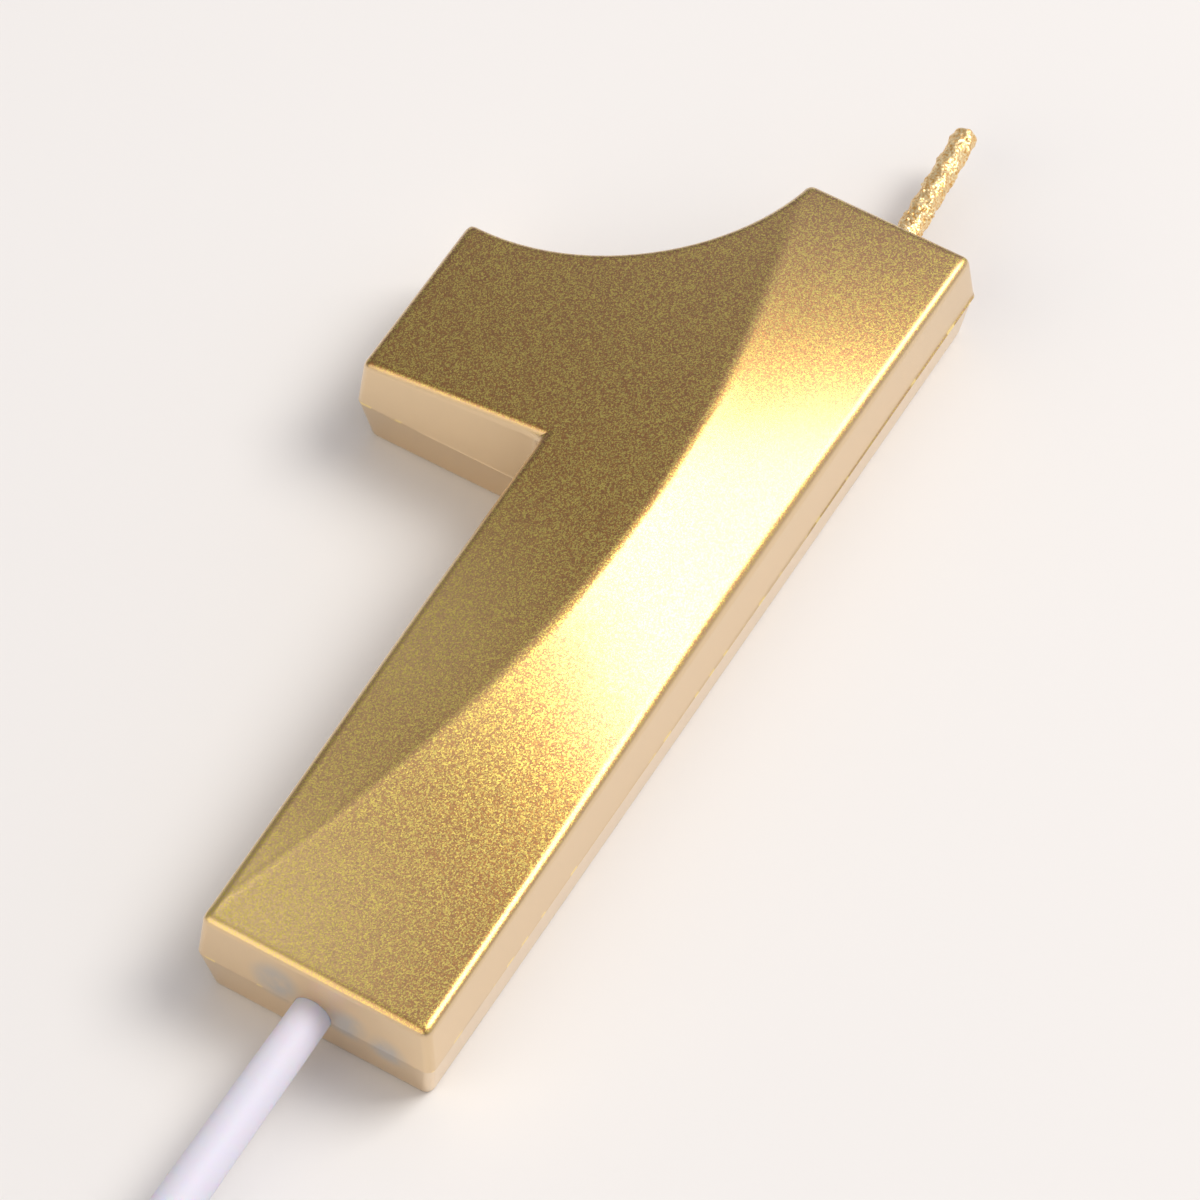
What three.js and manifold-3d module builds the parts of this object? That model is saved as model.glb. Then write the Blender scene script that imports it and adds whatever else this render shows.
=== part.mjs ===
// A number birthday candle: a cast wax "1" with a faceted front, a cotton wick and a cake pick.
// Millimetres. The candle lies on its back: +X is the numeral's right, +Y runs up the numeral to the
// wick, and +Z comes out of the faceted front. The origin is on the back face at the stem's centre.
import * as THREE from 'three';
import { mergeVertices } from 'three/addons/utils/BufferGeometryUtils.js';
import Module from 'manifold-3d';

const wasm = await Module();
wasm.setup();

// --- Driving dimensions ----------------------------------------------------------------------------

// Outline of the numeral, at its widest (the parting line).
const BODY_HEIGHT = 70;            // foot to top edge
const STEM_WIDTH = 17.3;
const FLAG_REACH = 13.9;           // how far the flag stands out to the left of the stem
const FLAG_DROP = 14.5;            // top edge down to the flag's upper corner
const FLAG_DEPTH = 14.6;           // the flag's upper corner down to its underside
const CROWN_WIDTH = 13.2;          // length of the straight top edge
const SWEEP_SAG = 5.1;             // depth of the hollow arc from the flag to the top edge, off its chord
const CORNER_SOFTENING = 0.6;      // each upright corner is rounded over this length of its two walls

// Thickness and draft.
const PARTING_HEIGHT = 4.1;        // back face to the parting line
const RIM_HEIGHT = 8.1;            // back face to the front's outer edges
const BACK_DRAFT = 0.6;            // how far the back face's outline stands in from the parting line
const FRONT_DRAFT = 0.4;           // the same at the rim

// The ridge starts at the foot's left corner and ends at the left end of the top edge. Between them it
// follows a cubic curve with two handles. Each is given across from the stem's left wall, along from the
// foot or from the top edge, and proud of the rim.
const RIDGE_HANDLE_LOW = { across: 7.8, fromFoot: 22, proud: 0.6 };
const RIDGE_HANDLE_HIGH = { across: 15.1, fromTop: 33, proud: 7 };

// Wick.
const WICK_STRANDS = 3;
const STRAND_RADIUS = 0.34;
const STRAND_GAP = 0.3;            // between neighbouring strands
const WICK_PITCH = 6;              // length of one full twist
const WICK_OFF_CENTRE = 0.4;       // the wick sits this far to the right of the top edge's middle
const WICK_STUB = 11.1;            // length standing out of the top
const WICK_LEAN = 0.07;            // sideways lean of the stub towards the flag, per unit of length
const WICK_END_ABOVE_SOCKET = 4;   // wax left between the socket's end and the wick
const CHANNEL_CLEARANCE = 0.3;

// Cake pick.
const PICK_INNER_RADIUS = 1.25;    // at the end inside the wax
const PICK_NECK_RADIUS = 1.35;     // at the foot face
const PICK_SHANK_RADIUS = 1.5;     // widest, outside the wax
const PICK_TAPER_LENGTH = 16;      // neck to full shank
const PICK_EXPOSED = 50;           // foot face to the point
const PICK_POINT_LENGTH = 8;
const PICK_POINT_RADIUS = 0.35;
const PICK_INSERTED = 17;          // length inside the wax
const PICK_GROOVES = 3;            // holding grooves round the inserted end
const PICK_GROOVE_SPACING = 3.5;
const PICK_GROOVE_WIDTH = 1.2;
const PICK_GROOVE_DEPTH = 0.2;
const SOCKET_CLEARANCE = 0.3;

// Mesh fineness.
const CORNER_STEPS = 6;
const RIDGE_ROWS = 56;
const ROUND_SIDES = 24;
const STRAND_SIDES = 6;
const STEPS_PER_TWIST = 9;

// --- Places that follow from the dimensions --------------------------------------------------------

const footY = -BODY_HEIGHT / 2;
const topY = BODY_HEIGHT / 2;
const rightX = STEM_WIDTH / 2;
const stemLeftX = -STEM_WIDTH / 2;
const flagLeftX = stemLeftX - FLAG_REACH;
const crownLeftX = rightX - CROWN_WIDTH;
const wickX = rightX - CROWN_WIDTH / 2 + WICK_OFF_CENTRE;
const layRadius = (STRAND_RADIUS + STRAND_GAP / 2) / Math.sin(Math.PI / WICK_STRANDS);
const wickRadius = layRadius + STRAND_RADIUS;
const socketDepth = PICK_INSERTED + SOCKET_CLEARANCE;
const wickLowY = footY + socketDepth + WICK_END_ABOVE_SOCKET;

// --- Helpers ---------------------------------------------------------------------------------------

function toManifold(geometry) {
  const bare = geometry.clone();
  bare.deleteAttribute('normal');
  bare.deleteAttribute('uv');
  const merged = mergeVertices(bare, 1e-5);
  const vertProperties = new Float32Array(merged.attributes.position.array);
  const triVerts = new Uint32Array(merged.index.array);
  return new wasm.Manifold(new wasm.Mesh({ numProp: 3, vertProperties, triVerts }));
}

function fromManifold(solid) {
  const { vertProperties, triVerts } = solid.getMesh();
  const geometry = new THREE.BufferGeometry();
  geometry.setAttribute('position', new THREE.BufferAttribute(vertProperties, 3));
  geometry.setIndex(new THREE.BufferAttribute(triVerts, 1));
  return geometry;
}

function addPiece(name, geometry, finish) {
  const flatShaded = geometry.index ? geometry.toNonIndexed() : geometry;
  flatShaded.computeVertexNormals();
  const mesh = new THREE.Mesh(flatShaded, new THREE.MeshStandardMaterial(finish));
  mesh.name = name;
  candle.add(mesh);
}

// --- Wax body --------------------------------------------------------------------------------------

// The hollow arc through the flag's upper corner and the top edge's left end.
function sweepArc() {
  const flagCorner = new THREE.Vector2(flagLeftX, topY - FLAG_DROP);
  const crownCorner = new THREE.Vector2(crownLeftX, topY);
  const chord = crownCorner.clone().sub(flagCorner);
  const radius = (chord.lengthSq() / 4 + SWEEP_SAG ** 2) / (2 * SWEEP_SAG);
  const towardsHollow = new THREE.Vector2(-chord.y, chord.x).normalize();
  const centre = flagCorner.add(crownCorner).multiplyScalar(0.5);
  centre.addScaledVector(towardsHollow, radius - SWEEP_SAG);
  return { centre, radius };
}

// The numeral's outline with every wall moved in by the inset. The number of points never changes,
// so outlines at different heights can be joined point to point.
function numeralOutline(inset) {
  const soft = CORNER_SOFTENING;
  const left = flagLeftX + inset;
  const right = rightX - inset;
  const foot = footY + inset;
  const top = topY - inset;
  const stem = stemLeftX + inset;
  const underside = topY - FLAG_DROP - FLAG_DEPTH + inset;
  const { centre, radius: outerRadius } = sweepArc();
  const radius = outerRadius + inset;
  const tipAngle = -Math.acos((left - centre.x) / radius);
  const crownAngle = Math.asin((top - centre.y) / radius);
  const onSweep = (angle) => new THREE.Vector2(
    centre.x + radius * Math.cos(angle),
    centre.y + radius * Math.sin(angle),
  );
  const tip = onSweep(tipAngle);
  const crown = onSweep(crownAngle);
  const softAngle = soft / radius;
  const afterCrown = onSweep(crownAngle - softAngle);
  const outline = new THREE.Shape();
  outline.moveTo(stem + soft, foot);
  outline.lineTo(right - soft, foot);
  outline.quadraticCurveTo(right, foot, right, foot + soft);
  outline.lineTo(right, top - soft);
  outline.quadraticCurveTo(right, top, right - soft, top);
  outline.lineTo(crown.x + soft, top);
  outline.quadraticCurveTo(crown.x, crown.y, afterCrown.x, afterCrown.y);
  outline.absarc(centre.x, centre.y, radius, crownAngle - softAngle, tipAngle + softAngle, true);
  outline.quadraticCurveTo(tip.x, tip.y, left, tip.y - soft);
  outline.lineTo(left, underside + soft);
  outline.quadraticCurveTo(left, underside, left + soft, underside);
  outline.lineTo(stem - soft, underside);
  outline.quadraticCurveTo(stem, underside, stem, underside - soft);
  outline.lineTo(stem, foot + soft);
  outline.quadraticCurveTo(stem, foot, stem + soft, foot);
  return outline;
}

// A slab of the numeral's outline whose walls lean in and out through the given levels.
function draftedSlab(levels) {
  const steps = levels.length - 1;
  const rings = levels.map(({ inset }) => numeralOutline(inset).getPoints(CORNER_STEPS));
  const flat = new THREE.ExtrudeGeometry(new THREE.Shape(rings[0]), {
    depth: steps, steps, bevelEnabled: false,
  });
  const position = flat.attributes.position;
  for (let i = 0; i < position.count; i++) {
    const level = Math.round(position.getZ(i));
    const here = new THREE.Vector2(position.getX(i), position.getY(i));
    const index = rings[0].findIndex((point) => point.distanceTo(here) < 1e-4);
    const moved = rings[level][index];
    position.setXYZ(i, moved.x, moved.y, levels[level].height);
  }
  return flat;
}

const ridge = new THREE.CubicBezierCurve3(
  new THREE.Vector3(stemLeftX + FRONT_DRAFT, footY + FRONT_DRAFT, RIM_HEIGHT),
  new THREE.Vector3(
    stemLeftX + RIDGE_HANDLE_LOW.across,
    footY + RIDGE_HANDLE_LOW.fromFoot,
    RIM_HEIGHT + RIDGE_HANDLE_LOW.proud,
  ),
  new THREE.Vector3(
    stemLeftX + RIDGE_HANDLE_HIGH.across,
    topY - RIDGE_HANDLE_HIGH.fromTop,
    RIM_HEIGHT + RIDGE_HANDLE_HIGH.proud,
  ),
  new THREE.Vector3(crownLeftX, topY - FRONT_DRAFT, RIM_HEIGHT),
);

// Everything under the front's two facets. Each row of the box is a straight line from the ridge down
// to the rim on either side, carried on past the walls, so the facets are ruled surfaces.
function underTheFacets() {
  const margin = 3;
  const rowCount = RIDGE_ROWS + 2;
  const box = new THREE.BoxGeometry(2, rowCount, 2, 2, rowCount, 1);
  const position = box.attributes.position;
  for (let i = 0; i < position.count; i++) {
    const side = Math.round(position.getX(i));
    const row = Math.round(position.getY(i) + rowCount / 2);
    const onFront = position.getZ(i) > 0;
    const along = THREE.MathUtils.clamp((row - 1) / RIDGE_ROWS, 0, 1);
    const crest = ridge.getPoint(along);
    const wall = side < 0 ? flagLeftX : rightX;
    const past = 1 + margin / Math.abs(crest.x - wall);
    const x = side === 0 ? crest.x : THREE.MathUtils.lerp(crest.x, wall, past);
    const z = side === 0 ? crest.z : THREE.MathUtils.lerp(crest.z, RIM_HEIGHT, past);
    const beyond = (row === 0 ? -margin : 0) + (row === rowCount ? margin : 0);
    position.setXYZ(i, x, crest.y + beyond, onFront ? z : -margin);
  }
  return box;
}

function roundBar(radius, low, high, x) {
  const bar = new THREE.CylinderGeometry(radius, radius, high - low, ROUND_SIDES);
  return bar.translate(x, (low + high) / 2, PARTING_HEIGHT);
}

function waxNumeral() {
  const tallest = RIM_HEIGHT + RIDGE_HANDLE_HIGH.proud;
  const draftPerMm = FRONT_DRAFT / (RIM_HEIGHT - PARTING_HEIGHT);
  const slab = draftedSlab([
    { height: 0, inset: BACK_DRAFT },
    { height: PARTING_HEIGHT, inset: 0 },
    { height: RIM_HEIGHT, inset: FRONT_DRAFT },
    { height: tallest, inset: (tallest - PARTING_HEIGHT) * draftPerMm },
  ]);
  const pastTheWall = 1;
  const channel = roundBar(wickRadius + CHANNEL_CLEARANCE, wickLowY, topY + pastTheWall, wickX);
  const socketRadius = PICK_NECK_RADIUS + SOCKET_CLEARANCE;
  const socket = roundBar(socketRadius, footY - pastTheWall, footY + socketDepth, 0);
  return fromManifold(
    toManifold(slab)
      .intersect(toManifold(underTheFacets()))
      .subtract(toManifold(channel))
      .subtract(toManifold(socket)),
  );
}

// --- Wick ------------------------------------------------------------------------------------------

// One strand of the wick: a helix about the channel's axis, which leans once it is out of the wax.
class StrandCurve extends THREE.Curve {
  constructor(startAngle) {
    super();
    this.startAngle = startAngle;
    this.low = wickLowY + CHANNEL_CLEARANCE + STRAND_RADIUS;
    this.high = topY + WICK_STUB;
  }

  getPoint(t, target = new THREE.Vector3()) {
    const y = THREE.MathUtils.lerp(this.low, this.high, t);
    const angle = this.startAngle + (2 * Math.PI * (y - this.low)) / WICK_PITCH;
    const lean = -WICK_LEAN * Math.max(0, y - topY);
    return target.set(
      wickX + lean + layRadius * Math.cos(angle),
      y,
      PARTING_HEIGHT + layRadius * Math.sin(angle),
    );
  }
}

function wickStrand(index) {
  const curve = new StrandCurve((2 * Math.PI * index) / WICK_STRANDS);
  const section = new THREE.Shape();
  section.absarc(0, 0, STRAND_RADIUS, 0, 2 * Math.PI);
  const turns = (curve.high - curve.low) / WICK_PITCH;
  return new THREE.ExtrudeGeometry(section, {
    steps: Math.round(turns * STEPS_PER_TWIST),
    curveSegments: STRAND_SIDES / 2,
    extrudePath: curve,
  });
}

// --- Cake pick -------------------------------------------------------------------------------------

// The profile runs from the blunt inner end, past the holding grooves, down the shank to the point.
// Nothing inside the wax is wider than the neck, so the pick slides out.
function cakePick() {
  const innerEnd = footY + PICK_INSERTED;
  const pointEnd = footY - PICK_EXPOSED;
  const endChamfer = 0.4;
  const profile = [
    new THREE.Vector2(0, innerEnd),
    new THREE.Vector2(PICK_INNER_RADIUS - endChamfer, innerEnd),
    new THREE.Vector2(PICK_INNER_RADIUS, innerEnd - endChamfer),
  ];
  for (let groove = 0; groove < PICK_GROOVES; groove++) {
    const start = innerEnd - PICK_GROOVE_SPACING * (groove + 0.5);
    const end = start - PICK_GROOVE_WIDTH;
    const bottom = PICK_INNER_RADIUS - PICK_GROOVE_DEPTH;
    profile.push(
      new THREE.Vector2(PICK_INNER_RADIUS, start),
      new THREE.Vector2(bottom, start - PICK_GROOVE_DEPTH),
      new THREE.Vector2(bottom, end + PICK_GROOVE_DEPTH),
      new THREE.Vector2(PICK_INNER_RADIUS, end),
    );
  }
  profile.push(
    new THREE.Vector2(PICK_NECK_RADIUS, footY),
    new THREE.Vector2(PICK_SHANK_RADIUS, footY - PICK_TAPER_LENGTH),
    new THREE.Vector2(PICK_SHANK_RADIUS, pointEnd + PICK_POINT_LENGTH),
    new THREE.Vector2(PICK_POINT_RADIUS, pointEnd + PICK_POINT_RADIUS),
    new THREE.Vector2(0, pointEnd),
  );
  const pick = new THREE.LatheGeometry(profile.reverse(), ROUND_SIDES);
  return pick.translate(0, 0, PARTING_HEIGHT);
}

// --- Assembly --------------------------------------------------------------------------------------

const candle = new THREE.Group();

const goldLacquer = { color: 0xc9a24f, roughness: 0.38, metalness: 1 };
const waxedCotton = { color: 0xc79a3e, roughness: 0.5, metalness: 0.8 };
const whitePlastic = { color: 0xe9e9f2, roughness: 0.35, metalness: 0 };

addPiece('wax_numeral', waxNumeral(), goldLacquer);
for (let index = 0; index < WICK_STRANDS; index++) {
  addPiece(`wick_strand_${index + 1}`, wickStrand(index), waxedCotton);
}
addPiece('cake_pick', cakePick(), whitePlastic);

export default candle;
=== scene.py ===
import math
import random

import bpy
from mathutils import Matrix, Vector, noise


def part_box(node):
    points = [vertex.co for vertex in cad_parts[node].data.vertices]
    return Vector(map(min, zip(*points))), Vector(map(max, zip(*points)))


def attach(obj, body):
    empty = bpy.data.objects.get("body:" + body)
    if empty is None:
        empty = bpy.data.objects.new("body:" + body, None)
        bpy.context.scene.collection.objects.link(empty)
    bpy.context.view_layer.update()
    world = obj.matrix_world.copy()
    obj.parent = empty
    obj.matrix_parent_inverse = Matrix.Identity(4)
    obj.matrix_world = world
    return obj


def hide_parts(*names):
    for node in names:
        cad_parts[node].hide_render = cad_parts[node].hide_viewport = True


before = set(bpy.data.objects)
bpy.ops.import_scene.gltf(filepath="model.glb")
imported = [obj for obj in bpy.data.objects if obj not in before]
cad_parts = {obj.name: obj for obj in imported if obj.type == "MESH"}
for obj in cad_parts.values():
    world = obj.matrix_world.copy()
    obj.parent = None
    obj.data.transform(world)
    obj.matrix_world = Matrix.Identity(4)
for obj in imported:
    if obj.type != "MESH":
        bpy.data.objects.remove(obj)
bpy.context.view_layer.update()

MM = 0.001

# --- Sizes, in millimetres ---------------------------------------------------------------------------

wax_low, wax_high = [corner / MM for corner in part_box("wax_numeral")]
pick_low, pick_high = [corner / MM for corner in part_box("cake_pick")]

# Outline of the numeral at its parting line.
FOOT = wax_low.y
TOP = wax_high.y
RIGHT = wax_high.x
STEM_LEFT = -wax_high.x
FLAG_LEFT = wax_low.x
FLAG_DROP = 14.5            # top edge down to the flag's upper corner
FLAG_DEPTH = 14.6           # the flag's upper corner down to its underside
CROWN_WIDTH = 13.2          # straight top edge
SWEEP_SAG = 5.1             # depth of the hollow arc off its chord
SWEEP_STEPS = 26

# Thickness, draft and edges.
PARTING = 4.1
RIM = 8.1
BACK_DRAFT = 0.6
FRONT_DRAFT = 0.4
EDGE_ROUND = 0.6            # front rim and upright corners
BACK_ROUND = 0.35
FLASH_HALF = 0.1            # half the height of the fin left at the parting line
FLASH_PROUD = 0.05
SUPPORT = 0.15              # flat margin kept beside a rounded edge
GRID_ROW = 1.0              # spacing of the cuts across the front
GRID_COLUMN = 1.5
BORE_SIDES = 48

# The curved ridge between the two front facets: ends, and handles of its cubic curve.
RIDGE = (
    Vector((STEM_LEFT + FRONT_DRAFT, FOOT + FRONT_DRAFT, 0)),
    Vector((STEM_LEFT + 7.8, FOOT + 22.0, 0.6)),
    Vector((STEM_LEFT + 15.1, TOP - 33.0, 7.0)),
    Vector((RIGHT - CROWN_WIDTH, TOP - FRONT_DRAFT, 0)),
)
RIDGE_SOFTNESS = 0.45       # half width over which the ridge is rounded
BEAD_PROUD = 0.025          # fine bead that marks the ridge where it runs out near the foot
BEAD_END = -8.0             # height up the numeral where the bead ends

# Wick.
WICK_X = RIGHT - CROWN_WIDTH / 2 + 0.4
WICK_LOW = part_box("wick_strand_1")[0].y / MM
WICK_TOP = max(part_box(f"wick_strand_{i}")[1].y for i in (1, 2, 3)) / MM
WICK_LEAN = 0.07
WICK_PITCH = 6.0
STRAND_RADIUS = 0.42
LAY_RADIUS = 0.54
WAX_RADIUS = 0.84           # wax that fills the middle of the stub
WAX_PARTS = 12              # short lengths that the middle of the stub is built from
GRAINS = 110                # dried drips on the stub
BURIED_END = TOP - 1.0      # the bare strands end just inside the wax, where the waxed stub takes over
STUB_START = TOP - 1.2
STUB_VOXEL = 0.055

# Cake pick.
PICK_NECK = 1.35
PICK_SHANK = pick_high.x
PICK_TAPER = 16.0
PICK_POINT = 8.0
PICK_END = 1.25             # radius of the part inside the wax
PICK_SIDES = 48
GROOVES = 3                 # holding grooves round the part inside the wax
GROOVE_SPACING = 3.5
GROOVE_WIDTH = 1.2
GROOVE_RADIUS = 1.05

# Studio. Directions point from the candle towards the light.
TOWARDS_KEY = Vector((0.42, 0.43, 0.80)).normalized()
TOWARDS_FILL = Vector((-0.28, -0.78, 0.56)).normalized()
KEY_SIZE = 0.62             # metres
KEY_DISTANCE = 1.2          # metres
KEY_ENERGY = 9.6
FILL_STRENGTH = 1.6
FLOOR_SIZE = 3              # metres


# --- Small helpers -----------------------------------------------------------------------------------

def only(piece):
    """Makes this object the only one selected, and the active one."""
    bpy.ops.object.select_all(action="DESELECT")
    piece.select_set(True)
    bpy.context.view_layer.objects.active = piece


def edit(piece, mode):
    """Enters edit mode on this object with nothing selected."""
    only(piece)
    bpy.ops.object.mode_set(mode="EDIT")
    bpy.ops.mesh.select_mode(type=mode)
    bpy.ops.mesh.select_all(action="DESELECT")


def done():
    bpy.ops.object.mode_set(mode="OBJECT")


def pick_out(piece, mode, test):
    """In edit mode, selects the vertices, edges or faces that pass the test, and nothing else."""
    bpy.ops.mesh.select_all(action="DESELECT")
    bpy.ops.object.mode_set(mode="OBJECT")
    mesh = piece.data
    items = {"VERT": mesh.vertices, "EDGE": mesh.edges, "FACE": mesh.polygons}[mode]
    for item in items:
        item.select = bool(test(item))
    bpy.ops.object.mode_set(mode="EDIT")
    bpy.ops.mesh.select_mode(type=mode)


def apply_modifier(piece, kind, **settings):
    only(piece)
    modifier = piece.modifiers.new(kind.title(), kind)
    for name, value in settings.items():
        setattr(modifier, name, value)
    bpy.ops.object.modifier_apply(modifier=modifier.name)


def place_in_mesh(piece):
    """Puts the object's place, turn and scale into its mesh, which leaves it unmoved at the origin."""
    only(piece)
    bpy.ops.object.transform_apply(location=True, rotation=True, scale=True)


def to_metres(piece):
    """Pieces are modelled in millimetres, where the tools' merging distances suit their size."""
    piece.scale = (MM, MM, MM)
    place_in_mesh(piece)


def joined(pieces):
    bpy.ops.object.select_all(action="DESELECT")
    for piece in pieces:
        piece.select_set(True)
    bpy.context.view_layer.objects.active = pieces[0]
    bpy.ops.object.join()
    return bpy.context.active_object


def smooth(piece, degrees=35):
    only(piece)
    bpy.ops.object.shade_smooth_by_angle(angle=math.radians(degrees))


def finish_piece(piece, name, body, material):
    piece.name = name
    piece.data.name = name
    piece.data.materials.clear()
    piece.data.materials.append(material)
    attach(piece, body)


# --- Materials ---------------------------------------------------------------------------------------

def colour(hex_code):
    """An sRGB hex colour as linear RGBA."""
    parts = [int(hex_code[i:i + 2], 16) / 255 for i in (1, 3, 5)]
    linear = [p / 12.92 if p <= 0.04045 else ((p + 0.055) / 1.055) ** 2.4 for p in parts]
    return (*linear, 1.0)


def add_node(tree, kind, inputs=None, **settings):
    """Adds a node, sets its settings, and links or sets its inputs."""
    made = tree.nodes.new(kind)
    for name, value in settings.items():
        setattr(made, name, value)
    for socket, value in (inputs or {}).items():
        if isinstance(value, bpy.types.NodeSocket):
            tree.links.new(value, made.inputs[socket])
        else:
            made.inputs[socket].default_value = value
    return made


def new_material(name):
    material = bpy.data.materials.new(name)
    material.use_nodes = True
    material.node_tree.nodes.clear()
    return material, material.node_tree


def spot(tree, place, centre_mm, radius_mm, softness):
    """1 within a distance of a point on the object, falling to 0 outside it."""
    distance = add_node(tree, "ShaderNodeVectorMath", {
        0: place, 1: [v * MM for v in centre_mm],
    }, operation="DISTANCE").outputs["Value"]
    return add_node(tree, "ShaderNodeMapRange", {
        "Value": distance, "From Min": radius_mm * (1 - softness) * MM, "From Max": radius_mm * MM,
        "To Min": 1.0, "To Max": 0.0,
    }, interpolation_type="SMOOTHSTEP").outputs["Result"]


def metallic_gold_lacquer():
    """Sprayed metallic lacquer on cast wax. The front shows coarse flake that glitters; the walls got a
    thinner, finer coat, so they look smooth and champagne coloured. Towards the crown the gold is paler.
    At the foot's left corner and low on the left edge the gold is painted paler and made rougher: the
    paler colour is painted light, a brighter patch that stands in for light reflected there. Bare
    greyish wax shows beside the pick. The clear coat over it turns the gold's highlight silvery."""
    material, tree = new_material("metallic_gold_lacquer_on_cast_wax")
    # Real flake is about 0.04 mm across. It is drawn twice as coarse, so that single flakes still show.
    flake_mm = 0.08
    place = add_node(tree, "ShaderNodeTexCoord").outputs["Object"]
    facing = add_node(tree, "ShaderNodeNewGeometry").outputs["Normal"]
    upward = add_node(tree, "ShaderNodeSeparateXYZ", {0: facing}).outputs["Z"]
    along = add_node(tree, "ShaderNodeSeparateXYZ", {0: place}).outputs["Y"]
    front = add_node(tree, "ShaderNodeMapRange", {
        "Value": upward, "From Min": 0.45, "From Max": 0.9,
    }, interpolation_type="SMOOTHSTEP").outputs["Result"]

    flakes = add_node(tree, "ShaderNodeTexVoronoi", {
        "Vector": place, "Scale": 1 / (flake_mm * MM),
    }).outputs["Color"]
    centred = add_node(tree, "ShaderNodeVectorMath", {
        0: flakes, 1: (0.5, 0.5, 0.5),
    }, operation="SUBTRACT").outputs[0]
    tilt = add_node(tree, "ShaderNodeMapRange", {
        "Value": front, "To Min": 0.03, "To Max": 0.12,
    }).outputs["Result"]
    leaning = add_node(tree, "ShaderNodeVectorMath", {
        0: centred, "Scale": tilt,
    }, operation="SCALE").outputs[0]
    flaked = add_node(tree, "ShaderNodeVectorMath", {
        0: facing, 1: leaning,
    }, operation="ADD").outputs[0]
    flaked = add_node(tree, "ShaderNodeVectorMath", {0: flaked}, operation="NORMALIZE").outputs[0]

    # Most flakes lie a little dark and the rest catch the light.
    shade = add_node(tree, "ShaderNodeSeparateColor", {0: flakes}).outputs["Green"]
    some = add_node(tree, "ShaderNodeMapRange", {
        "Value": shade, "From Min": 0.42, "From Max": 0.81,
    }).outputs["Result"]
    lit = add_node(tree, "ShaderNodeMath", {0: some, 1: front}, operation="MULTIPLY").outputs[0]

    paler = add_node(tree, "ShaderNodeMapRange", {
        "Value": along, "From Min": 5 * MM, "From Max": TOP * MM,
    }).outputs["Result"]
    # Painted light: a paler colour at the foot's left corner and low on the left edge stands in for light
    # reflected there. The same patch is also rougher.
    painted_light_patch = spot(tree, place, (STEM_LEFT, FOOT, RIM), 20, 1.0)
    beside = spot(tree, place, (STEM_LEFT - 2, FOOT + 24, RIM), 17, 1.0)
    painted_light_patch = add_node(tree, "ShaderNodeMath", {
        0: beside, 1: 0.7, 2: painted_light_patch,
    }, operation="MULTIPLY_ADD").outputs[0]
    painted_light_patch = add_node(tree, "ShaderNodeMath", {0: painted_light_patch, 1: 1.0}, operation="MINIMUM").outputs[0]
    gold = add_node(tree, "ShaderNodeMix", {
        "Factor": paler, 6: colour("#b5770e"), 7: colour("#b07c46"),
    }, data_type="RGBA").outputs[2]
    gold = add_node(tree, "ShaderNodeMix", {
        "Factor": painted_light_patch, 6: gold, 7: colour("#e8c684"),
    }, data_type="RGBA").outputs[2]
    base = add_node(tree, "ShaderNodeMix", {
        "Factor": front, 6: colour("#e3c493"), 7: gold,
    }, data_type="RGBA").outputs[2]
    tinted = add_node(tree, "ShaderNodeMix", {
        "Factor": lit, 6: base, 7: colour("#e8cf54"),
    }, data_type="RGBA").outputs[2]

    # Painted glints: bright gold streaks on the fin at the parting line stand in for light catching it.
    height = add_node(tree, "ShaderNodeSeparateXYZ", {0: place}).outputs["Z"]
    on_fin = add_node(tree, "ShaderNodeMath", {
        0: height, 1: PARTING * MM, 2: 0.13 * MM,
    }, operation="COMPARE").outputs[0]
    streaks = add_node(tree, "ShaderNodeTexNoise", {
        "Vector": place, "Scale": 1 / (1.4 * MM), "Detail": 1.0,
    }).outputs["Fac"]
    painted_fin_glint = add_node(tree, "ShaderNodeMapRange", {
        "Value": streaks, "From Min": 0.56, "From Max": 0.6,
    }).outputs["Result"]
    painted_fin_glint = add_node(tree, "ShaderNodeMath", {0: painted_fin_glint, 1: on_fin}, operation="MULTIPLY").outputs[0]
    tinted = add_node(tree, "ShaderNodeMix", {
        "Factor": painted_fin_glint, 6: tinted, 7: colour("#ffe28c"),
    }, data_type="RGBA").outputs[2]

    blotches = add_node(tree, "ShaderNodeTexNoise", {
        "Vector": place, "Scale": 1 / (3.0 * MM), "Detail": 3.0,
    }).outputs["Fac"]
    ragged = add_node(tree, "ShaderNodeMapRange", {
        "Value": blotches, "From Min": 0.25, "From Max": 0.5,
    }).outputs["Result"]
    bare = spot(tree, place, (-2.7, FOOT, 5.4), 2.3, 0.8)
    for centre, radius in (((2.5, FOOT, 4.6), 2.1), ((5.3, FOOT, 3.9), 2.0)):
        another = spot(tree, place, centre, radius, 0.8)
        bare = add_node(tree, "ShaderNodeMath", {0: bare, 1: another}, operation="MAXIMUM").outputs[0]
    bare = add_node(tree, "ShaderNodeMath", {0: bare, 1: ragged}, operation="MULTIPLY").outputs[0]
    finish = add_node(tree, "ShaderNodeMix", {
        "Factor": bare, 6: tinted, 7: colour("#b4ada3"),
    }, data_type="RGBA").outputs[2]
    coated = add_node(tree, "ShaderNodeMapRange", {
        "Value": bare, "To Min": 1.0, "To Max": 0.5,
    }).outputs["Result"]
    metal = add_node(tree, "ShaderNodeMapRange", {
        "Value": front, "To Min": 0.88, "To Max": 1.0,
    }).outputs["Result"]
    metal = add_node(tree, "ShaderNodeMath", {0: metal, 1: coated}, operation="MULTIPLY").outputs[0]
    roughness = add_node(tree, "ShaderNodeMapRange", {
        "Value": front, "To Min": 0.36, "To Max": 0.38,
    }).outputs["Result"]
    roughness = add_node(tree, "ShaderNodeMath", {
        0: painted_light_patch, 1: 0.1, 2: roughness,
    }, operation="MULTIPLY_ADD").outputs[0]
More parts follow.
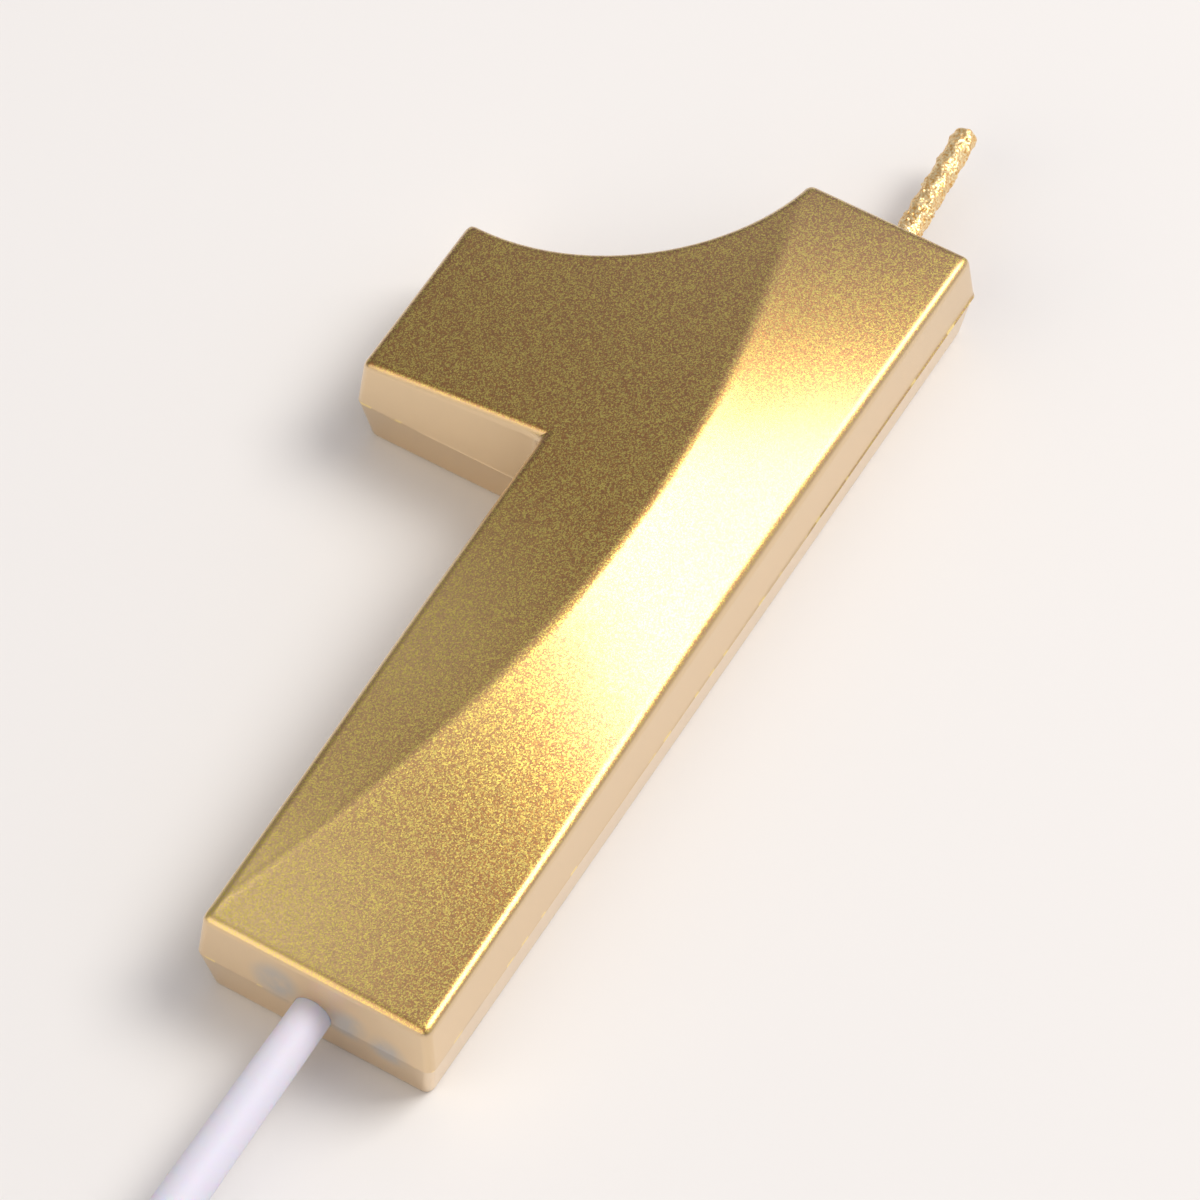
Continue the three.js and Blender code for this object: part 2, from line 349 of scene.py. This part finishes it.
    shader = add_node(tree, "ShaderNodeBsdfPrincipled", {
        "Base Color": finish, "Metallic": metal, "Roughness": roughness, "Normal": flaked,
        "Coat Weight": 1.0, "Coat Roughness": 0.28, "Coat IOR": 2.0,
    })
    add_node(tree, "ShaderNodeOutputMaterial", {"Surface": shader.outputs[0]})
    return material


def gilded_waxed_cotton():
    """Cotton dipped in wax and sprayed with the same gold, which gives an uneven, glittering skin."""
    material, tree = new_material("gilded_waxed_cotton")
    fibre_mm = 0.18
    place = add_node(tree, "ShaderNodeTexCoord").outputs["Object"]
    fibres = add_node(tree, "ShaderNodeTexNoise", {
        "Vector": place, "Scale": 1 / (fibre_mm * MM), "Detail": 3.0,
    }).outputs["Fac"]
    uneven = add_node(tree, "ShaderNodeMapRange", {
        "Value": fibres, "From Min": 0.32, "From Max": 0.66,
    }).outputs["Result"]
    ramp = add_node(tree, "ShaderNodeMix", {
        "Factor": uneven, 6: colour("#e2a850"), 7: colour("#ffeebe"),
    }, data_type="RGBA").outputs[2]
    raised = add_node(tree, "ShaderNodeBump", {
        "Height": fibres, "Distance": 0.06 * MM, "Strength": 0.6,
    }).outputs["Normal"]
    shader = add_node(tree, "ShaderNodeBsdfPrincipled", {
        "Base Color": ramp, "Metallic": 0.65, "Roughness": 0.34, "Normal": raised,
    })
    add_node(tree, "ShaderNodeOutputMaterial", {"Surface": shader.outputs[0]})
    return material


def moulded_white_plastic():
    """Injection moulded polystyrene, white and a little milky, with a satin skin."""
    material, tree = new_material("moulded_white_polystyrene")
    place = add_node(tree, "ShaderNodeTexCoord").outputs["Object"]
    ripple = add_node(tree, "ShaderNodeTexNoise", {
        "Vector": place, "Scale": 1 / (1.5 * MM), "Detail": 2.0,
    }).outputs["Fac"]
    raised = add_node(tree, "ShaderNodeBump", {
        "Height": ripple, "Distance": 0.02 * MM, "Strength": 0.5,
    }).outputs["Normal"]
    shader = add_node(tree, "ShaderNodeBsdfPrincipled", {
        "Base Color": colour("#dfdeec"), "Roughness": 0.6, "IOR": 1.59, "Normal": raised,
        "Subsurface Weight": 0.5, "Subsurface Scale": 1.0 * MM,
    })
    add_node(tree, "ShaderNodeOutputMaterial", {"Surface": shader.outputs[0]})
    return material


# --- The wax numeral ---------------------------------------------------------------------------------

def outline(inset):
    """The numeral's outline with sharp corners and every wall moved in, anticlockwise from the foot."""
    flag = Vector((FLAG_LEFT, TOP - FLAG_DROP))
    crown = Vector((RIGHT - CROWN_WIDTH, TOP))
    chord = crown - flag
    radius = (chord.length_squared / 4 + SWEEP_SAG ** 2) / (2 * SWEEP_SAG)
    hollow = Vector((-chord.y, chord.x)).normalized()
    centre = (flag + crown) / 2 + hollow * (radius - SWEEP_SAG)
    radius += inset
    left, right, foot, top = FLAG_LEFT + inset, RIGHT - inset, FOOT + inset, TOP - inset
    stem, underside = STEM_LEFT + inset, TOP - FLAG_DROP - FLAG_DEPTH + inset
    start = math.asin((top - centre.y) / radius)
    end = -math.acos((left - centre.x) / radius)
    points = [Vector((stem, foot)), Vector((right, foot)), Vector((right, top))]
    for step in range(SWEEP_STEPS + 1):
        angle = start + (end - start) * step / SWEEP_STEPS
        points.append(centre + radius * Vector((math.cos(angle), math.sin(angle))))
    points += [Vector((left, underside)), Vector((stem, underside))]
    return points


def ridge_at(y):
    """The ridge's point at a height up the numeral, found by halving."""
    def point(t):
        s = 1 - t
        a, b, c, d = RIDGE
        return s ** 3 * a + 3 * s * s * t * b + 3 * s * t * t * c + t ** 3 * d
    low, high = 0.0, 1.0
    for _ in range(30):
        middle = (low + high) / 2
        if point(middle).y < y:
            low = middle
        else:
            high = middle
    return point(low)


def facet_height(x, y):
    """How far the front stands proud of the rim: two ruled facets with a rounded ridge between them."""
    crest = ridge_at(y)
    left = crest.z * (x - FLAG_LEFT) / (crest.x - FLAG_LEFT)
    right = crest.z * (RIGHT - x) / (RIGHT - crest.x)
    slopes = crest.z / (crest.x - FLAG_LEFT) + crest.z / (RIGHT - crest.x)
    across = abs(x - crest.x)
    sunk = slopes * max(0.0, RIDGE_SOFTNESS - across) ** 2 / (4 * RIDGE_SOFTNESS)
    fading = min(1.0, max(0.0, (BEAD_END - y) / 12))
    bead = BEAD_PROUD * fading * max(0.0, 1 - across / RIDGE_SOFTNESS)
    return min(left, right) - sunk + bead


def make_numeral(material):
    """Extrudes the outline through its three levels, then rounds, cuts, raises and bores it."""
    levels = [(0.0, BACK_DRAFT), (PARTING, 0.0), (RIM, FRONT_DRAFT)]
    count = len(outline(0))
    bpy.ops.object.select_all(action="DESELECT")
    bpy.ops.mesh.primitive_circle_add(vertices=count, fill_type="NGON")
    wax = bpy.context.active_object
    for vertex, point in zip(wax.data.vertices, outline(BACK_DRAFT)):
        vertex.co = (point.x, point.y, 0)
    for (low, low_inset), (high, high_inset) in zip(levels, levels[1:]):
        edit(wax, "FACE")
        pick_out(wax, "FACE", lambda f: abs(f.center.z - low) < 0.01 and len(f.vertices) == count)
        bpy.ops.mesh.extrude_region_move(TRANSFORM_OT_translate={"value": (0, 0, high - low)})
        done()
        before, after = outline(low_inset), outline(high_inset)
        for vertex in wax.data.vertices:
            if abs(vertex.co.z - high) < 0.01:
                index = min(range(count), key=lambda i: (before[i] - vertex.co.xy).length)
                vertex.co.xy = after[index]
    edit(wax, "FACE")
    bpy.ops.mesh.select_all(action="SELECT")
    bpy.ops.mesh.normals_make_consistent(inside=False)
    done()
    round_the_edges(wax)
    cut_into_rows(wax)
    raise_the_facets(wax)
    bore_the_wax(wax)
    to_metres(wax)
    smooth(wax)
    apply_modifier(wax, "WEIGHTED_NORMAL", keep_sharp=True, weight=50)
    finish_piece(wax, "gilded_wax_numeral", "candle", material)
    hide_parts("wax_numeral")


def round_the_edges(wax):
    """Rounds the front rim and the upright corners together, then the back rim, and leaves a fine fin of
    wax at the parting line."""
    mesh = wax.data
    sweep = set(range(3, 3 + SWEEP_STEPS + 1))
    corner_points = [p for i, p in enumerate(outline(0)) if i not in sweep or i in (3, 3 + SWEEP_STEPS)]

    def ends(edge):
        return [mesh.vertices[i].co for i in edge.vertices]

    def on_front_rim(edge):
        return all(co.z > RIM - 0.01 for co in ends(edge))

    def on_upright_corner(edge):
        a, b = ends(edge)
        return abs(a.z - b.z) > 1 and min((a.xy - p).length for p in corner_points) < 1

    edit(wax, "EDGE")
    pick_out(wax, "EDGE", lambda e: on_front_rim(e) or on_upright_corner(e))
    bpy.ops.mesh.bevel(offset=EDGE_ROUND, segments=5, profile=0.5, clamp_overlap=False)
    pick_out(wax, "EDGE", lambda e: all(co.z < 0.01 for co in ends(e)))
    bpy.ops.mesh.bevel(offset=BACK_ROUND, segments=3, profile=0.5, clamp_overlap=False)
    pick_out(wax, "EDGE", lambda e: all(abs(co.z - PARTING) < 0.01 for co in ends(e)))
    bpy.ops.mesh.bevel(offset=FLASH_HALF, segments=2, profile=0.5, clamp_overlap=False)
    done()
    # The fin stands out in patches, where noise is high.
    fin = [(v, v.normal.xy.normalized()) for v in mesh.vertices if abs(v.co.z - PARTING) < 0.03]
    for vertex, outwards in fin:
        ragged = 0.4 + 5 * max(0.0, noise.noise(vertex.co * 0.8) - 0.15)
        vertex.co.xy += outwards * FLASH_PROUD * ragged
    edit(wax, "FACE")
    pick_out(wax, "FACE", lambda face: face.normal.z > 0.999 and face.area > 100)
    bpy.ops.mesh.inset(thickness=SUPPORT)
    done()


def cut_into_rows(wax):
    """Cuts the front into a grid, with one line of edges that follows the ridge."""
    edit(wax, "FACE")
    rows = [FOOT + 0.5 + GRID_ROW * i for i in range(int((TOP - FOOT) / GRID_ROW))]
    columns = [
        FLAG_LEFT + 0.9 + GRID_COLUMN * i for i in range(int((RIGHT - FLAG_LEFT) / GRID_COLUMN))
    ]
    for y in rows:
        bpy.ops.mesh.select_all(action="SELECT")
        bpy.ops.mesh.bisect(plane_co=(0, y, 0), plane_no=(0, 1, 0))
    for x in columns:
        bpy.ops.mesh.select_all(action="SELECT")
        bpy.ops.mesh.bisect(plane_co=(x, 0, 0), plane_no=(1, 0, 0))
    for low, high in zip(rows, rows[1:]):
        a, b = ridge_at(low), ridge_at(high)
        across = Vector((b.y - a.y, a.x - b.x, 0)).normalized()

        def in_band(face):
            between = low < face.center.y < high
            return face.normal.z > 0.99 and between and abs(face.center.x - a.x) < 3

        for shift in (-1, -0.5, 0, 0.5, 1):
            pick_out(wax, "FACE", in_band)
            start = a + across * shift * RIDGE_SOFTNESS
            bpy.ops.mesh.bisect(plane_co=(start.x, start.y, 0), plane_no=across)
    done()


def raise_the_facets(wax):
    """Lifts the front to its two facets. The upper walls stretch with it."""
    for vertex in wax.data.vertices:
        share = (vertex.co.z - PARTING) / (RIM - PARTING)
        if share > 0:
            inside = max(FOOT + FRONT_DRAFT, min(TOP - FRONT_DRAFT, vertex.co.y))
            vertex.co.z += min(share, 1.0) * facet_height(vertex.co.x, inside)


def bore_the_wax(wax):
    """Opens the wick's channel and the pick's socket."""
    bores = [
        (WICK_X, WICK_LOW - 0.3, TOP + 1, LAY_RADIUS + STRAND_RADIUS + 0.05),
        (0, FOOT - 1, pick_high.y + 0.3, PICK_NECK + 0.03),
    ]
    for x, low, high, radius in bores:
        bpy.ops.mesh.primitive_cylinder_add(
            vertices=BORE_SIDES, radius=radius, depth=high - low,
            location=(x, (low + high) / 2, PARTING), rotation=(math.pi / 2, 0, 0),
        )
        cutter = bpy.context.active_object
        apply_modifier(wax, "BOOLEAN", operation="DIFFERENCE", object=cutter, solver="EXACT")
        bpy.data.objects.remove(cutter)


# --- The wick ----------------------------------------------------------------------------------------

def wick_axis(y):
    """The wick's middle at a height: straight in the wax, and leaning towards the flag outside it."""
    return Vector((WICK_X - WICK_LEAN * max(0.0, y - TOP), y, PARTING))


def strand_tubes(low, high):
    """The three strands between two heights, as one mesh."""
    steps = round((high - low) * 4)
    strands = []
    for index in range(3):
        curve = bpy.data.curves.new("strand", "CURVE")
        curve.dimensions = "3D"
        curve.bevel_depth = STRAND_RADIUS
        curve.bevel_resolution = 3
        curve.use_fill_caps = True
        spline = curve.splines.new("POLY")
        spline.points.add(steps)
        for step, point in enumerate(spline.points):
            y = low + (high - low) * step / steps
            angle = 2 * math.pi * (index / 3 + (y - WICK_LOW) / WICK_PITCH)
            place = wick_axis(y) + LAY_RADIUS * Vector((math.cos(angle), 0, math.sin(angle)))
            point.co = (*place, 1)
        strand = bpy.data.objects.new("strand", curve)
        bpy.context.collection.objects.link(strand)
        only(strand)
        bpy.ops.object.convert(target="MESH")
        strand = bpy.context.active_object
        edit(strand, "VERT")
        bpy.ops.mesh.select_all(action="SELECT")
        bpy.ops.mesh.remove_doubles(threshold=0.001)
        bpy.ops.mesh.normals_make_consistent(inside=False)
        done()
        strands.append(strand)
    return joined(strands)


def make_wick(material):
    """Three twisted strands. Inside the wax they are bare; on the stub, wax and paint fill the grooves
    between them, and drips have dried to grains near its foot."""
    buried = strand_tubes(WICK_LOW, BURIED_END)
    stub = strand_tubes(STUB_START, WICK_TOP)
    core = []
    for part in range(WAX_PARTS):
        start = wick_axis(STUB_START + (WICK_TOP - STUB_START) * part / WAX_PARTS)
        end = wick_axis(STUB_START + (WICK_TOP - STUB_START) * (part + 1) / WAX_PARTS)
        bpy.ops.object.select_all(action="DESELECT")
        bpy.ops.mesh.primitive_cylinder_add(
            vertices=32, radius=WAX_RADIUS, depth=(end - start).length + 0.1,
            location=(start + end) / 2, rotation=(end - start).to_track_quat("Z", "X").to_euler(),
        )
        place_in_mesh(bpy.context.active_object)
        core.append(bpy.context.active_object)
    chance = random.Random(11)
    for _ in range(GRAINS):
        y = TOP + chance.triangular(0.1, 7.5, 0.6)
        angle = chance.uniform(0, 2 * math.pi)
        size = chance.uniform(0.09, 0.19)
        skin = WAX_RADIUS + 0.03
        centre = wick_axis(y) + skin * Vector((math.cos(angle), 0, math.sin(angle)))
        bpy.ops.mesh.primitive_ico_sphere_add(subdivisions=1, radius=size, location=centre)
        place_in_mesh(bpy.context.active_object)
        core.append(bpy.context.active_object)
    stub = joined([stub] + core)
    apply_modifier(stub, "REMESH", mode="VOXEL", voxel_size=STUB_VOXEL)
    apply_modifier(stub, "SMOOTH", factor=0.5, iterations=2)
    lumps = []
    for vertex in stub.data.vertices:
        rough = noise.noise(vertex.co * 1.6) * 0.06 + noise.noise(vertex.co * 5) * 0.045
        lumps.append(vertex.normal * rough)
    for vertex, lump in zip(stub.data.vertices, lumps):
        if TOP + 0.3 < vertex.co.y < WICK_TOP - 0.25:
            vertex.co += lump
    wick = joined([stub, buried])
    to_metres(wick)
    smooth(wick, 60)
    finish_piece(wick, "twisted_cotton_wick", "candle", material)
    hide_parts("wick_strand_1", "wick_strand_2", "wick_strand_3")


# --- The cake pick -----------------------------------------------------------------------------------

def make_pick(material):
    """A turned shape: one ring of points, extruded along the pick and scaled at each station."""
    inner = pick_high.y
    point = pick_low.y
    # Each station is a height along the pick and the radius there.
    stations = [(inner, 0.85), (inner - 0.15, 1.15), (inner - 0.4, PICK_END)]
    for groove in range(GROOVES):
        start = inner - GROOVE_SPACING * (groove + 0.5)
        stations += [(start, PICK_END), (start - 0.2, GROOVE_RADIUS)]
        stations += [(start - GROOVE_WIDTH + 0.2, GROOVE_RADIUS), (start - GROOVE_WIDTH, PICK_END)]
    stations += [(FOOT, PICK_NECK), (FOOT - 4, 1.39), (FOOT - PICK_TAPER, PICK_SHANK)]
    stations += [(point + PICK_POINT, PICK_SHANK), (point + PICK_POINT - 1, 1.4)]
    stations += [(point + 1.0, 0.45), (point + 0.35, 0.3), (point + 0.08, 0.14)]
    bpy.ops.mesh.primitive_circle_add(
        vertices=PICK_SIDES, radius=stations[0][1], fill_type="NGON",
        location=(0, stations[0][0], PARTING), rotation=(math.pi / 2, 0, 0),
    )
    pick = bpy.context.active_object
    place_in_mesh(pick)
    edit(pick, "FACE")
    bpy.ops.mesh.select_all(action="SELECT")
    for (here, wide), (there, narrow) in zip(stations, stations[1:]):
        bpy.ops.mesh.extrude_region_move(TRANSFORM_OT_translate={"value": (0, there - here, 0)})
        bpy.ops.transform.resize(
            value=(narrow / wide, 1, narrow / wide), center_override=(0, there, PARTING),
        )
    bpy.ops.mesh.select_all(action="SELECT")
    bpy.ops.mesh.normals_make_consistent(inside=False)
    done()
    to_metres(pick)
    smooth(pick, 40)
    finish_piece(pick, "moulded_cake_pick", "pick", material)
    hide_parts("cake_pick")


# --- Studio ------------------------------------------------------------------------------------------

def make_studio():
    """A pale floor, one soft key light, and a dim sky that glows round the key and low past the foot."""
    scene = bpy.context.scene
    scene.view_settings.view_transform = "Standard"
    bpy.ops.mesh.primitive_plane_add(size=FLOOR_SIZE)
    floor = bpy.context.active_object
    floor.name = "studio_floor"
    material, tree = new_material("pale_studio_floor")
    shader = add_node(tree, "ShaderNodeBsdfPrincipled", {
        "Base Color": colour("#ecebea"), "Roughness": 0.9, "Specular IOR Level": 0.2,
    })
    add_node(tree, "ShaderNodeOutputMaterial", {"Surface": shader.outputs[0]})
    floor.data.materials.append(material)

    world = bpy.data.worlds.new("soft_studio")
    scene.world = world
    world.use_nodes = True
    world.node_tree.nodes.clear()
    tree = world.node_tree
    outwards = add_node(tree, "ShaderNodeTexCoord").outputs["Generated"]
    nearness = add_node(tree, "ShaderNodeVectorMath", {
        0: outwards, 1: TOWARDS_KEY,
    }, operation="DOT_PRODUCT").outputs["Value"]
    glow = add_node(tree, "ShaderNodeMapRange", {
        "Value": nearness, "From Min": 0.5, "From Max": 0.82, "To Min": 0.26, "To Max": 0.74,
    }, interpolation_type="SMOOTHSTEP").outputs["Result"]
    nearness = add_node(tree, "ShaderNodeVectorMath", {
        0: outwards, 1: TOWARDS_FILL,
    }, operation="DOT_PRODUCT").outputs["Value"]
    fill = add_node(tree, "ShaderNodeMapRange", {
        "Value": nearness, "From Min": 0.82, "From Max": 0.97,
    }, interpolation_type="SMOOTHSTEP").outputs["Result"]
    both = add_node(tree, "ShaderNodeMath", {
        0: fill, 1: FILL_STRENGTH, 2: glow,
    }, operation="MULTIPLY_ADD").outputs["Value"]
    tone = add_node(tree, "ShaderNodeMix", {
        "Factor": fill, 6: colour("#f1f0fa"), 7: colour("#fff4e0"),
    }, data_type="RGBA").outputs[2]
    sky = add_node(tree, "ShaderNodeBackground", {"Color": tone, "Strength": both})
    add_node(tree, "ShaderNodeOutputWorld", {"Surface": sky.outputs[0]})

    lamp = bpy.data.lights.new("key_softbox", "AREA")
    lamp.shape = "RECTANGLE"
    lamp.size = KEY_SIZE
    lamp.size_y = KEY_SIZE
    lamp.energy = KEY_ENERGY
    lamp.color = colour("#fffaf2")[:3]
    key = bpy.data.objects.new("key_softbox", lamp)
    key.location = TOWARDS_KEY * KEY_DISTANCE
    key.rotation_euler = TOWARDS_KEY.to_track_quat("Z", "Y").to_euler()
    scene.collection.objects.link(key)


def make_camera():
    """Looks down at the front from the foot's right, through a long lens."""
    aim = Vector((-0.62, 0.89, 3.45)) * MM
    azimuth, elevation, distance = math.radians(30.72), math.radians(56.33), 362.2 * MM
    back = Vector((
        math.sin(azimuth) * math.cos(elevation),
        -math.cos(azimuth) * math.cos(elevation),
        math.sin(elevation),
    ))
    lens = bpy.data.cameras.new("view")
    lens.sensor_width = 36
    lens.lens = 167.0
    lens.clip_start = 0.01
    camera = bpy.data.objects.new("view", lens)
    camera.location = aim + back * distance
    camera.rotation_euler = back.to_track_quat("Z", "Y").to_euler()
    bpy.context.scene.collection.objects.link(camera)
    bpy.context.scene.camera = camera


make_camera()
make_studio()
make_numeral(metallic_gold_lacquer())
make_wick(gilded_waxed_cotton())
make_pick(moulded_white_plastic())
